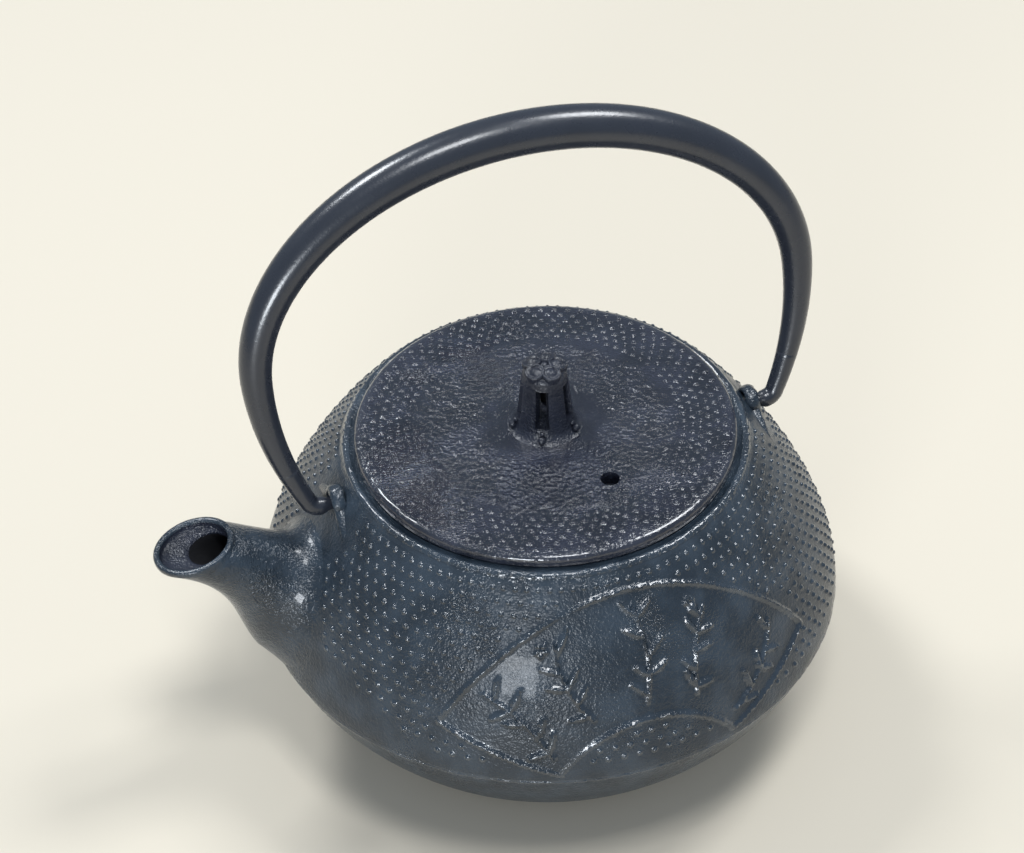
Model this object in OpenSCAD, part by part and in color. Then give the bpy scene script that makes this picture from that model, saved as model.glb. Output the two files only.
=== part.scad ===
// Small cast iron teapot with a bail handle, a loose lid and a hanging tea strainer.
// Z is up, the foot ring stands on z = 0, the pot's axis is the Z axis and the spout points to -X.

/* [Pot] */
// Outside diameter of the belly at its widest
belly_d = 140; // [126:1:168]
// Height of the widest part of the belly
belly_h = 33; // [30:1:40]
// Height of the flat rim that the lid sits on
rim_h = 76; // [63:1:91]
// Outside diameter of the shoulder where it meets the rim
collar_d = 95.2; // [92:0.2:100]
// Thickness of the iron
wall = 3.2; // [2.5:0.1:4]
// Diameter of the throat that the strainer hangs through
throat_d = 73; // [70:0.5:76]
// Outside diameter of the foot ring
foot_d = 90; // [80:1:94]

/* [Spout] */
// How far the middle of the mouth stands out from the belly
spout_out = 16.6; // [12:0.2:22]
// How far the middle of the mouth lies below the rim
spout_drop = 7.6; // [4:0.2:14]
// Width of the mouth, outside
mouth_w = 17.6; // [15:0.2:20]
// Thickness of the lip
lip = 1.6; // [1.2:0.1:2.2]
// Bore of the spout's neck
neck_bore = 9.4; // [8:0.2:10]

/* [Handle] */
// Height of the arch's middle line above its pins
handle_h = 81.6; // [70:0.2:98]
// How far each leg bulges out past its heel
handle_bulge = 7.8; // [4:0.2:12]
// Thickness of the arch at its top
handle_top_d = 10.4; // [8:0.2:12]
// Thickness of each leg at its heel
handle_heel_d = 4.4; // [4:0.2:5]
// Diameter of the pins in the lugs
pin_d = 3; // [2.6:0.1:3.4]
// Lean of the handle away from the front, as it stands
handle_lean = 14; // [0:1:30]

/* [Lid] */
// Outside diameter of the lid
lid_d = 90.4; // [88:0.2:91]
// Thickness of the lid
lid_t = 3.2; // [2.8:0.1:4.5]
// Length of the locating skirt under the lid
skirt_l = 7; // [4:0.5:10]
// Diameter of the steam vent
vent_d = 4.5; // [3:0.5:6]
// Height of the knob above the lid
knob_h = 18.6; // [15:0.1:24]

/* [Strainer] */
// Gap between the strainer's wall and the throat
strainer_gap = 2.3; // [1.5:0.1:3.5]
// Gap between the strainer's floor and the pot's floor
strainer_floor_gap = 20; // [12:1:26]
// Thickness of the strainer's sheet and mesh
mesh_t = 0.6; // [0.5:0.1:1]

/* [Hidden] */
$fn = 64;

iron = [0.20, 0.24, 0.28];
lacquer = [0.14, 0.15, 0.17];
steel = [0.76, 0.77, 0.78];

belly_r = belly_d / 2;
collar_r = collar_d / 2;
shoulder_n = 1.5;    // fullness of the shoulder's curve
base_n = 1.45;       // fullness of the base's curve
foot_h = 2;
foot_w = 6;
base_r = foot_d / 2 + 3.5;
floor_t = 3.5;
floor_z = foot_h + floor_t;
rim_t = 4.6;         // depth of iron under the rim
ledge_drop = 1.6;    // step under the rim that the strainer hangs on
ledge_w = 2.5;
bead_r = 1.3;        // rounded edge outside the lid
seam_r = 0.9;        // raised line where the two halves of the mould met
curve_steps = 16;

// Shoulder and base are superellipses that start upright at the belly
function ring_drop(r, n) = pow(1 - pow(r / belly_r, n), 1 / n);
shoulder_c = (rim_h - belly_h) / ring_drop(collar_r, shoulder_n);
base_c = (belly_h - foot_h) / ring_drop(base_r, base_n);
function shoulder_z(r) = belly_h + shoulder_c * ring_drop(r, shoulder_n);
function super_point(a, c, n) = [belly_r * pow(cos(a), 2 / n), c * pow(sin(a), 2 / n)];
function super_end(r, n) = acos(pow(r / belly_r, n / 2));
shoulder = [for (i = [0:curve_steps])
  [0, belly_h] + super_point(super_end(collar_r, shoulder_n) * i / curve_steps, shoulder_c, shoulder_n)];
base = [for (i = [curve_steps:-1:1])
  let (p = super_point(super_end(base_r, base_n) * i / curve_steps, base_c, base_n)) [p.x, belly_h - p.y]];
outline = concat(base, shoulder);
// The same line moved inwards by the wall
function inset(p, d) = [for (i = [0:len(p) - 1])
  let (t = p[min(i + 1, len(p) - 1)] - p[max(i - 1, 0)], u = t / norm(t)) [p[i].x - d * u.y, p[i].y + d * u.x]];
cavity_line = inset(outline, wall);

// Spout: rings between an upper and a lower line, and a last one in the plane of the mouth
mouth_x = belly_r + spout_out;
mouth_z = rim_h - spout_drop;
mouth_l = 19.6;      // length of the mouth
mouth_tilt = 11.6;   // slope of the mouth down towards its tip
mouth_half = mouth_l / 2 * [cos(mouth_tilt), -sin(mouth_tilt)];
lip_edge = 1.3 * [sin(mouth_tilt), cos(mouth_tilt)];   // the lip's edge, square to the mouth's plane
tip = [mouth_x, mouth_z] + mouth_half;
heel = [mouth_x, mouth_z] - mouth_half;
// Each line is its start inside the wall, the two points that it bends towards, and its end
upper_line = [[belly_r - 14, shoulder_z(belly_r - 14) - 5], heel - [13, 8], heel - [5.5, 2.6], heel - lip_edge];
lower_line = [[belly_r - 4.5, belly_h - 8], [belly_r + 13.4, belly_h + 2], tip - [25.4, 14.4], tip - lip_edge];
root_wide = 17;      // half width where the spout starts inside the wall
neck_wide = 8.4;
spout_steps = 14;
ring_sides = 24;

// Lugs stand on the shoulder beside the rim, and the handle's pins turn in their eyes
lug_t = 3.4;
lug_r = 4.4;
lug_out = 5.8;
lug_x = collar_r + lug_out;
eye_lift = 2.2;
pin_z = shoulder_z(lug_x) + eye_lift;
pin_gap = 0.08;      // running clearance around a pin
eye_depth = 3.7;
pin_in = 3.3;

// Handle: each leg rises from its heel, bulges out and runs into an arch that is half an ellipse
heel_x = lug_x + 5.05;
heel_bend = 3;
heel_turn = 68;
heel_s = heel_bend * (1 - cos(heel_turn));
heel_r = handle_heel_d / 2;
bulge_s = 34.5;      // height of the arch's widest part above the pins
socket_s = 11;       // where the tube ends and the solid hook begins
plug_l = 2.5;
plug_d = 3;
tube_t = 1;
arch_steps = 14;
leg_steps = 5;
bend_steps = 5;
rod_sides = 20;
bore_sides = 10;
arch_w = heel_x + handle_bulge;

// Lid, knob and rivet
lid_r = lid_d / 2;
lid_dome = 0.8;
lid_edge = 2;        // width of the sloping edge
skirt_gap = 0.6;
skirt_t = 2.4;
boss_r = 11.5;
vent_at = 24.5;
vent_turn = -71.5;
knob_z = rim_h + lid_t + lid_dome;
knob_base_r = 10.5;
slot_w = 2.8;
petals = 5;
petal_r = 2.1;
slot_turn = -115;    // where the first slot stands round the knob
slot_low = 3.5;
slot_high = knob_h - 4.6;
rivet_d = 4;
rivet_head_d = 7;
washer_d = 11;
washer_t = 1;

// Strainer
ledge_z = rim_h - ledge_drop;
throat_r = throat_d / 2;
flange_r = throat_r + ledge_w - 0.6;
flange_t = 1;
collar_t = 1.2;
strainer_r = throat_r - strainer_gap;
neck_l = 8;
strainer_low = floor_z + strainer_floor_gap;
base_ring_h = 5;
seam_w = 4;

// Closed skin over a list of rings with the same number of points
module skin(rings) {
  n = len(rings[0]);
  last = len(rings) - 1;
  polyhedron(
    points = [for (r = rings) each r],
    faces = concat(
      [[for (j = [0:n - 1]) j]],
      [for (i = [0:last - 1], j = [0:n - 1])
        [i * n + j, (i + 1) * n + j, (i + 1) * n + (j + 1) % n, i * n + (j + 1) % n]],
      [[for (j = [n - 1:-1:0]) last * n + j]]
    ),
    convexity = 6
  );
}

function mix(a, b, t) = a + (b - a) * t;
function bend(l, t) = pow(1 - t, 3) * l[0] + 3 * t * pow(1 - t, 2) * l[1] + 3 * t * t * (1 - t) * l[2]
  + pow(t, 3) * l[3];
// One ring of the spout between two points, thinned by a distance all round
function ring_across(up, low, wide, thin) =
  let (c = (up + low) / 2, h = norm(up - low) / 2 - thin, u = (up - low) / norm(up - low))
  [for (j = [0:ring_sides - 1]) let (q = 360 * j / ring_sides)
    [-(c.x + h * cos(q) * u.x), (wide - thin) * sin(q), c.y + h * cos(q) * u.y]];
function spout_wide(t) = mix(mix(neck_wide, root_wide, pow(1 - t, 3)), mouth_w / 2, pow(t, 6));
function spout_ring(t, thin) = ring_across(bend(upper_line, t), bend(lower_line, t), spout_wide(t), thin);

module spout_outside() {
  skin([each [for (i = [0:spout_steps]) spout_ring(i / spout_steps, 0)], ring_across(heel, tip, mouth_w / 2, 0)]);
}

module spout_inside() {
  thin = neck_wide - neck_bore / 2;
  // The walls thin out to the lip, and a last ring above the mouth opens it
  rings = [for (i = [0:spout_steps]) let (t = i / spout_steps) spout_ring(t, mix(thin, lip, pow(t, 7)))];
  skin(concat([[for (p = rings[0]) p + [8, 0, -4]]], rings,
    [for (up = [1, 2]) ring_across(heel + (up - 1) * lip_edge, tip + (up - 1) * lip_edge, mouth_w / 2, lip)]));
}

module lug(side) {
  translate([side > 0 ? lug_x - lug_t : -lug_x, 0, pin_z]) rotate([90, 0, 90])
    linear_extrude(lug_t) union() {
      circle(r = lug_r);
      polygon([[-11.5, -6.5], [11.5, -6.5], [8, -2], [lug_r * cos(24), lug_r * sin(24)],
        [-lug_r * cos(24), lug_r * sin(24)], [-8, -2]]);
    }
}

module eye(side) {
  translate([side * (lug_x - eye_depth), 0, pin_z]) rotate([0, side * 90, 0])
    cylinder(r = pin_d / 2 + pin_gap, h = eye_depth + 2);
}

module pot_casting() {
  color(iron) difference() {
    union() {
      rotate_extrude($fn = 56) polygon(concat([[0, foot_h]], outline, [[0, rim_h]]));
      rotate_extrude($fn = 56) translate([collar_r - 0.6, rim_h - 0.8]) circle(r = bead_r, $fn = 16);
      rotate_extrude($fn = 56) translate([belly_r - 0.3, belly_h - 1.5]) circle(r = seam_r, $fn = 16);
      spout_outside();
      for (side = [-1, 1]) lug(side);
      cylinder(r = foot_d / 2, h = foot_h + 0.5);
    }
    // Inside of the pot
    intersection() {
      rotate_extrude($fn = 56) polygon(concat([[0, 0]], cavity_line, [[0, rim_h]]));
      translate([0, 0, floor_z]) cylinder(r = belly_r, h = rim_h - rim_t - floor_z);
    }
    translate([0, 0, rim_h - rim_t - 1]) cylinder(r = throat_r, h = rim_t + 2);
    translate([0, 0, ledge_z]) cylinder(r = throat_r + ledge_w, h = ledge_drop + 1);
    spout_inside();
    for (side = [-1, 1]) eye(side);
    // Hollow inside the foot ring
    translate([0, 0, -1]) cylinder(r = foot_d / 2 - foot_w, h = foot_h + 1);
  }
}

module lid_casting() {
  top = rim_h + lid_t;
  skirt_r = strainer_r - mesh_t - skirt_gap;
  color(iron) difference() {
    union() {
      rotate_extrude($fn = 96) polygon([
        [0, rim_h], [lid_r - 0.3, rim_h], [lid_r, rim_h + 0.3], [lid_r, top - 1.7], [lid_r - 0.5, top - 0.7],
        [lid_r - lid_edge, top], [lid_r * 0.6, top + lid_dome * 0.6], [boss_r, top + lid_dome],
        [0, top + lid_dome]]);
      translate([0, 0, rim_h - skirt_l]) cylinder(r = skirt_r, h = skirt_l);
    }
    translate([0, 0, rim_h - skirt_l - 1]) cylinder(r = skirt_r - skirt_t, h = skirt_l + 1);
    rotate([0, 0, vent_turn]) translate([vent_at, 0, rim_h - 1]) cylinder(d = vent_d, h = lid_t + 4);
    translate([0, 0, rim_h - 1]) cylinder(d = rivet_d, h = lid_t + 4);
  }
}

module knob_casting() {
  color(iron) translate([0, 0, knob_z]) difference() {
    union() {
      rotate_extrude($fn = 48) polygon([
        [0, 0], [knob_base_r, 0], [knob_base_r, 0.7], [8.6, 1.5], [7.2, 2.7], [6.4, 4.3], [6, 6],
        [5.2, knob_h - 4], [4.9, knob_h - 1.9], [4.4, knob_h - 1.5], [0, knob_h - 1.5]]);
      // Blossom on top, each petal over the iron between two slots, and a bud under each slot
      for (i = [0:petals - 1]) rotate([0, 0, slot_turn + (i + 0.5) * 360 / petals])
        translate([3.1, 0, knob_h - petal_r]) sphere(r = petal_r, $fn = 24);
      for (i = [0:petals - 1]) rotate([0, 0, slot_turn + i * 360 / petals])
        translate([8, 0, 1.9]) sphere(r = 1.1, $fn = 24);
    }
    translate([0, 0, slot_low - 0.4]) cylinder(r = 3.6, h = slot_high - slot_low + 0.6);
    for (i = [0:petals - 1]) rotate([0, 0, slot_turn + i * 360 / petals])
      translate([2, -slot_w / 2, slot_low]) cube([8, slot_w, slot_high - slot_low]);
    translate([0, 0, -1]) cylinder(d = rivet_d, h = slot_low - 0.3);
  }
}

module knob_rivet() {
  low = rim_h - washer_t;
  color(steel) {
    translate([0, 0, low]) cylinder(d = rivet_d, h = knob_z - 1.3 + slot_low - low);
    translate([0, 0, low - 1.6]) intersection() {
      cylinder(d = rivet_head_d, h = 1.6);
      translate([0, 0, 3.6]) sphere(r = 4.4);
    }
  }
}

module rivet_washer() {
  color(steel) translate([0, 0, rim_h - washer_t]) difference() {
    cylinder(d = washer_d, h = washer_t);
    translate([0, 0, -1]) cylinder(d = rivet_d, h = washer_t + 2);
  }
}

// Middle line of the right half of the arch, from its socket up to the top
function leg_x(s) = arch_w - handle_bulge * pow((bulge_s - s) / (bulge_s - heel_s), 2);
function leg_turn(s) = atan2(2 * handle_bulge * (bulge_s - s), pow(bulge_s - heel_s, 2));
shank_run = [leg_x(socket_s) - heel_x, socket_s - heel_s];
shank_l = norm(shank_run);
shank_turn = atan2(shank_run.y, shank_run.x);
half_arch = concat(
  [[leg_x(socket_s), socket_s, 90 - shank_turn]],
  [for (i = [1:leg_steps - 1]) let (s = mix(socket_s, bulge_s, i / leg_steps)) [leg_x(s), s, leg_turn(s)]],
  [for (i = [0:arch_steps]) let (a = 90 * i / arch_steps)
    [arch_w * cos(a), bulge_s + (handle_h - bulge_s) * sin(a),
     -atan2(arch_w * sin(a), (handle_h - bulge_s) * cos(a))]]);
function flip(p) = [for (i = [len(p) - 2:-1:0]) [-p[i][0], p[i][1], -180 - p[i][2]]];
arch = concat(half_arch, flip(half_arch));
// Thickness grows from heel to top
function arch_r(i) = mix(heel_r, handle_top_d / 2, sin(90 * (0.09 + 0.91 * (1 - abs(1 - 2 * i / (len(arch) - 1))))));
// A ring across a rod at p, which holds x, height and lean from upright
function rod_ring(p, r, sides) = [for (j = [0:sides - 1]) let (q = 360 * j / sides)
  [p[0] + r * cos(q) * cos(p[2]), r * sin(q), p[1] - r * cos(q) * sin(p[2])]];

module on_pins() {
  translate([0, 0, pin_z]) rotate([-handle_lean, 0, 0]) children();
}

module handle_tube() {
  color(lacquer) on_pins() difference() {
    skin([for (i = [0:len(arch) - 1]) rod_ring(arch[i], arch_r(i), rod_sides)]);
    skin([for (i = [0:len(arch) - 1])
      rod_ring(arch[i], i == 0 || i == len(arch) - 1 ? plug_d / 2 + 0.1 : arch_r(i) - tube_t, bore_sides)]);
  }
}

// Solid end of the handle: pin, bend, shank and the plug that holds it in the tube
bend_x0 = heel_x - heel_bend * sin(heel_turn);
// Each step is x, height, slope and radius
hook_line = concat(
  [[bend_x0 - 2, 0, -90, pin_d / 2 - 0.3], [bend_x0 - 1.2, 0, -90, pin_d / 2 + 0.1]],
  [for (i = [0:bend_steps]) let (a = heel_turn * i / bend_steps)
    [bend_x0 + heel_bend * sin(a), heel_bend * (1 - cos(a)), a - 90, heel_r]],
  [[leg_x(socket_s), socket_s, shank_turn - 90, arch_r(0)]]);

module hook(side) {
  color(lacquer) on_pins() mirror([side > 0 ? 0 : 1, 0, 0]) {
    translate([lug_x - pin_in, 0, 0]) rotate([0, 90, 0]) cylinder(d = pin_d, h = bend_x0 - 1 - lug_x + pin_in);
    skin([for (p = hook_line) rod_ring([p[0], p[1], -p[2]], p[3], rod_sides)]);
    translate([leg_x(socket_s), 0, socket_s]) rotate([0, 90 - shank_turn, 0])
      translate([0, 0, -1]) cylinder(d = plug_d - 0.2, h = plug_l + 1);
  }
}

module spout_side_hook() {
  hook(-1);
}

module rear_hook() {
  hook(1);
}

module strainer_rim() {
  color(steel) translate([0, 0, ledge_z]) rotate_extrude($fn = 96) polygon([
    [strainer_r, -neck_l], [strainer_r + collar_t, -neck_l], [strainer_r + collar_t, 0],
    [flange_r, 0], [flange_r, flange_t], [strainer_r, flange_t]]);
}

module strainer_wall() {
  color(steel) translate([0, 0, strainer_low]) difference() {
    cylinder(r = strainer_r, h = ledge_z - strainer_low);
    translate([0, 0, -1]) cylinder(r = strainer_r - mesh_t, h = ledge_z - strainer_low + 2);
  }
}

module strainer_seam() {
  turn = seam_w / strainer_r * 180 / PI;
  color(steel) translate([0, 0, strainer_low + base_ring_h]) rotate([0, 0, 90 - turn / 2])
    rotate_extrude(angle = turn) translate([strainer_r, 0])
      square([0.4, ledge_z - neck_l - strainer_low - base_ring_h]);
}

module strainer_base_ring() {
  color(steel) translate([0, 0, strainer_low]) rotate_extrude($fn = 96) polygon([
    [strainer_r - 3, -0.8], [strainer_r + 0.6, -0.8], [strainer_r + 0.6, base_ring_h],
    [strainer_r, base_ring_h], [strainer_r, 0], [strainer_r - 3, 0]]);
}

module strainer_screen() {
  color(steel) translate([0, 0, strainer_low]) cylinder(r = strainer_r - mesh_t, h = mesh_t);
}

pot_casting();
lid_casting();
knob_casting();
knob_rivet();
rivet_washer();
handle_tube();
spout_side_hook();
rear_hook();
strainer_rim();
strainer_wall();
strainer_seam();
strainer_base_ring();
strainer_screen();
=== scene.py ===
import math
import random

import bmesh
import bpy
import numpy as np
from mathutils import Matrix, Vector, noise


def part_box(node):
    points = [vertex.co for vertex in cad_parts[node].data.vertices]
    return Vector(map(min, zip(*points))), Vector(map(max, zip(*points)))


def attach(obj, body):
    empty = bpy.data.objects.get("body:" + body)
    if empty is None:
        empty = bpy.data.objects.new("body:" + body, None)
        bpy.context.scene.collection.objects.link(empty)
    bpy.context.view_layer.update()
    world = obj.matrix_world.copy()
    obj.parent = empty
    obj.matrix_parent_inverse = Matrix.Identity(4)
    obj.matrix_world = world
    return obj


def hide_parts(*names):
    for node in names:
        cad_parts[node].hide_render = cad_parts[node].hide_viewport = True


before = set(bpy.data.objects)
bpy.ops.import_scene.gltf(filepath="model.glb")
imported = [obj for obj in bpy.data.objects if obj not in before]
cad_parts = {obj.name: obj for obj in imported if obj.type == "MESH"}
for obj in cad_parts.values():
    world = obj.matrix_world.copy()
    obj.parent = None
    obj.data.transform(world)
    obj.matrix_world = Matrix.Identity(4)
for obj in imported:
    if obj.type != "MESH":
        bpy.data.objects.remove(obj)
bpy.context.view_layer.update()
mm = 0.001
random.seed(11)

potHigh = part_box("pot_casting")[1]
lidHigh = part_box("lid_casting")[1]
knobLow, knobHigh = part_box("knob_casting")
hardEdge = math.radians(60)   # a fold sharper than this is shaded as an edge


def makeObject(name, bm, materials, body, replaced):
    mesh = bpy.data.meshes.new(name)
    bm.to_mesh(mesh)
    bm.free()
    for material in materials:
        mesh.materials.append(material)
    mesh.shade_smooth()
    mesh.set_sharp_from_angle(angle=hardEdge)
    piece = bpy.data.objects.new(name, mesh)
    bpy.context.scene.collection.objects.link(piece)
    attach(piece, body)
    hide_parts(replaced)


def step(low, high, x):
    # 0 up to low, 1 from high, and smooth between them
    t = np.clip((x - low) / (high - low), 0, 1)
    return t * t * (3 - 2 * t)


def mix(a, b, t):
    return a + (b - a) * t


def spinLine(bm, points, sectors):
    # turns a profile of (radius, height) round z; a sector is (start angle, end angle, steps), in degrees
    first = [bm.verts.new((r, 0, z)) for r, z in points]
    line = [bm.edges.new(pair) for pair in zip(first, first[1:])]
    for start, end, steps in sectors:
        copy = bmesh.ops.duplicate(bm, geom=first + line)["geom"]
        turned = [g for g in copy if isinstance(g, bmesh.types.BMVert)]
        bmesh.ops.rotate(bm, verts=turned, cent=(0, 0, 0),
                         matrix=Matrix.Rotation(math.radians(start), 3, "Z"))
        bmesh.ops.spin(bm, geom=copy, cent=(0, 0, 0), axis=(0, 0, 1), dvec=(0, 0, 0),
                       angle=math.radians(end - start), steps=steps, use_merge=False, use_duplicate=False)
    bmesh.ops.delete(bm, geom=first, context="VERTS")
    bmesh.ops.remove_doubles(bm, verts=bm.verts, dist=0.00001)
    bmesh.ops.recalc_face_normals(bm, faces=bm.faces)


def loft(bm, rings, capStart=False, capEnd=False):
    # corner j of a ring meets corner j of the next; bridge_loops pairs them its own way and twists the skin
    loops = [[bm.verts.new(p) for p in ring] for ring in rings]
    made = []
    for near, far in zip(loops, loops[1:]):
        for j in range(len(near)):
            made.append(bm.faces.new((near[j - 1], near[j], far[j], far[j - 1])))
    for wanted, loop in ((capStart, loops[0]), (capEnd, loops[-1])):
        if wanted:
            made.append(bm.faces.new(loop))
    return made


def ringAround(centre, sideways, across, wide, high, sides):
    return [centre + sideways * (wide * math.cos(q)) + across * (high * math.sin(q))
            for q in (2 * math.pi * j / sides for j in range(sides))]


class Wire:
    # a socket that sums can be written with
    def __init__(self, finish, socket):
        self.finish, self.socket = finish, socket

    def sum(self, operation, a, b=None):
        inputs = {0: a} if b is None else {0: a, 1: b}
        return self.finish.add("ShaderNodeMath", {"operation": operation}, inputs)

    def __add__(self, other):
        return self.sum("ADD", self, other)

    def __radd__(self, other):
        return self.sum("ADD", other, self)

    def __sub__(self, other):
        return self.sum("SUBTRACT", self, other)

    def __rsub__(self, other):
        return self.sum("SUBTRACT", other, self)

    def __mul__(self, other):
        return self.sum("MULTIPLY", self, other)

    def __rmul__(self, other):
        return self.sum("MULTIPLY", other, self)

    def __pow__(self, other):
        return self.sum("POWER", self, other)

    def most(self, other):
        return self.sum("MAXIMUM", self, other)

    def wave(self):
        return self.sum("SINE", self)


class Finish:
    # one material: its fixed values by name, then its patterns through the methods below
    def __init__(self, name, **fixed):
        self.material = bpy.data.materials.new(name)
        self.material.use_nodes = True
        self.tree = self.material.node_tree
        self.shader = self.tree.nodes["Principled BSDF"]
        for socket, value in fixed.items():
            self.shader.inputs[socket.replace("_", " ")].default_value = value
        self.place = self.add("ShaderNodeTexCoord", {}, {}, "Object")

    def add(self, kind, settings, inputs, output=0):
        node = self.tree.nodes.new(kind)
        for key, value in settings.items():
            setattr(node, key, value)
        for key, value in inputs.items():
            if isinstance(value, Wire):
                self.tree.links.new(value.socket, node.inputs[key])
            else:
                node.inputs[key].default_value = value
        return Wire(self, node.outputs[output])

    def feed(self, socket, wire):
        self.tree.links.new(wire.socket, self.shader.inputs[socket])

    def grain(self, scale, detail=2.0, rough=0.5):
        inputs = {"Vector": self.place, "Scale": scale, "Detail": detail, "Roughness": rough}
        return self.add("ShaderNodeTexNoise", {}, inputs, "Fac")

    def cells(self, scale, smooth=0.4):
        return self.add("ShaderNodeTexVoronoi", {"feature": "SMOOTH_F1"},
                        {"Vector": self.place, "Scale": scale, "Smoothness": smooth}, "Distance")

    def band(self, wire, low, high):
        return self.add("ShaderNodeMapRange", {"interpolation_type": "SMOOTHSTEP"},
                        {"Value": wire, "From Min": low, "From Max": high}, "Result")

    def blend(self, amount, dark, light):
        return self.add("ShaderNodeMix", {"data_type": "RGBA"}, {"Factor": amount, 6: dark, 7: light}, 2)

    def bump(self, height, distance):
        return self.add("ShaderNodeBump", {}, {"Height": height, "Distance": distance, "Strength": 1.0})


# colours are linear, pattern scales are per metre and bump heights are in metres
ironLook = {
    "blue": ((0.013, 0.0205, 0.03, 1), (0.027, 0.04, 0.056, 1)),
    "slate": ((0.0105, 0.0125, 0.0205, 1), (0.02, 0.0235, 0.037, 1)),
    "cloud": 120, "patch": 45, "smear": 500, "peel": 1100, "grit": 2300, "mottle": 620, "pits": 820,
    "roughness": 0.25, "coat": 0.1, "coatRoughness": 0.06, "relief": 0.00018,
    "ringStart": (0.012, 0.017), "ringEnd": (0.0285, 0.032), "ringWander": 0.006,   # the lid's pitted ring
}


def castIron(name, colours, pitted=0.0, mottled=0.0, roughness=ironLook["roughness"], coat=ironLook["coat"]):
    m = Finish(name, Specular_IOR_Level=0.45, Coat_Roughness=ironLook["coatRoughness"], Coat_Weight=coat)
    m.feed("Base Color", m.blend(m.band(m.grain(ironLook["cloud"], 3), 0.35, 0.7), *colours))
    patch = m.band(m.grain(ironLook["patch"], 2), 0.5, 0.68)
    m.feed("Roughness", roughness + 0.16 * m.grain(ironLook["smear"], 2) - 0.14 * patch)
    peel = m.grain(ironLook["peel"], 2, 0.5)
    grit = m.cells(ironLook["grit"])
    skin = peel * 1.3 + grit * (0.4 + 0.9 * patch)
    if mottled:
        skin = skin + mottled * m.grain(ironLook["mottle"], 3, 0.6)
    if pitted:
        x, y = (m.add("ShaderNodeSeparateXYZ", {}, {"Vector": m.place}, axis) for axis in "XY")
        reach = (x * x + y * y) ** 0.5 + (m.grain(150, 2) - 0.5) * ironLook["ringWander"]
        zone = m.band(reach, *ironLook["ringStart"]) * (1 - m.band(reach, *ironLook["ringEnd"]))
        skin = skin + zone * pitted * (m.cells(ironLook["pits"], 0.15) + 0.3 * m.grain(1900, 2))
    m.feed("Normal", m.bump(skin, ironLook["relief"]))
    return m.material


lacquerLook = {"colours": ((0.012, 0.0145, 0.021, 1), (0.018, 0.0215, 0.031, 1)), "cloud": 90, "smear": 260,
               "peel": 1400, "roughness": 0.24, "relief": 0.00004}


def satinLacquer(name):
    m = Finish(name, Specular_IOR_Level=0.55, Coat_Weight=0.3, Coat_Roughness=0.16)
    m.feed("Base Color", m.blend(m.grain(lacquerLook["cloud"], 2), *lacquerLook["colours"]))
    m.feed("Roughness", lacquerLook["roughness"] + 0.08 * m.grain(lacquerLook["smear"], 2))
    m.feed("Normal", m.bump(m.grain(lacquerLook["peel"], 2), lacquerLook["relief"]))
    return m.material


# near-black enamel for the pot's inside; the same dark colour is put in the knob's hollow and down the
# spout's bore as painted shade
enamelAndShadeLook = {"colours": ((0.006, 0.006, 0.007, 1), (0.012, 0.012, 0.013, 1)), "cloud": 60, "smear": 220,
              "peel": 900, "roughness": 0.42, "relief": 0.00005}


def enamelAndShade(name):
    m = Finish(name, Specular_IOR_Level=0.3)
    m.feed("Base Color", m.blend(m.grain(enamelAndShadeLook["cloud"], 2), *enamelAndShadeLook["colours"]))
    m.feed("Roughness", enamelAndShadeLook["roughness"] + 0.1 * m.grain(enamelAndShadeLook["smear"], 2))
    m.feed("Normal", m.bump(m.grain(enamelAndShadeLook["peel"], 2), enamelAndShadeLook["relief"]))
    return m.material


steelLook = {"cloud": 300, "brush": 900, "grain": 2000, "roughness": 0.26, "relief": 0.00003,
             "meshPitch": 0.0007, "meshRadius": 0.0342, "wireHeight": 0.00012, "wireEdge": (0.1, 0.3)}


def brushedSteel(name, woven=None, tone=0.62):
    # woven is "wall" for mesh rolled round the z axis, or "floor" for flat mesh
    m = Finish(name, Metallic=1.0)
    dark, light = (tone * 0.88,) * 3 + (1,), (tone, tone, tone * 1.01, 1)
    m.feed("Base Color", m.blend(m.grain(steelLook["cloud"], 2), dark, light))
    m.feed("Roughness", steelLook["roughness"] + 0.12 * m.grain(steelLook["brush"], 2))
    if not woven:
        m.feed("Normal", m.bump(m.grain(steelLook["grain"], 2), steelLook["relief"]))
        return m.material
    x, y, z = (m.add("ShaderNodeSeparateXYZ", {}, {"Vector": m.place}, axis) for axis in "XYZ")
    along, across = x, y
    if woven == "wall":
        along = m.add("ShaderNodeMath", {"operation": "ARCTAN2"}, {0: y, 1: x}) * steelLook["meshRadius"]
        across = z
    pitch = 2 * math.pi / steelLook["meshPitch"]
    warp, weft = (along * pitch).wave(), (across * pitch).wave()
    m.feed("Alpha", m.band(warp.most(weft), *steelLook["wireEdge"]))
    m.feed("Normal", m.bump(warp * warp + weft * weft, steelLook["wireHeight"]))
    return m.material


print("materials")
potIron = castIron("lacquered_iron", ironLook["blue"])
lidIron = castIron("lid_iron", ironLook["slate"], pitted=2.4, roughness=0.14, coat=0.4)
knobIron = castIron("knob_iron", ironLook["slate"])
spoutIron = castIron("spout_iron", ironLook["blue"], mottled=2.4, roughness=0.14, coat=0.3)
hobIron = castIron("hob_iron", ironLook["blue"], roughness=0.08, coat=0.8)
lidHobIron = castIron("lid_hob_iron", ironLook["slate"], roughness=0.08, coat=0.8)
lacquer = satinLacquer("handle_lacquer")
# the inside enamel, also used as painted shade in the knob's hollow and down the spout's bore
linerAndShade = enamelAndShade("inside_enamel_and_painted_shade")
steel = brushedSteel("rivet_steel", tone=0.5)
sheetSteel = brushedSteel("strainer_steel")
wallMesh = brushedSteel("strainer_wall_mesh", "wall")
floorMesh = brushedSteel("strainer_floor_mesh", "floor")

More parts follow.
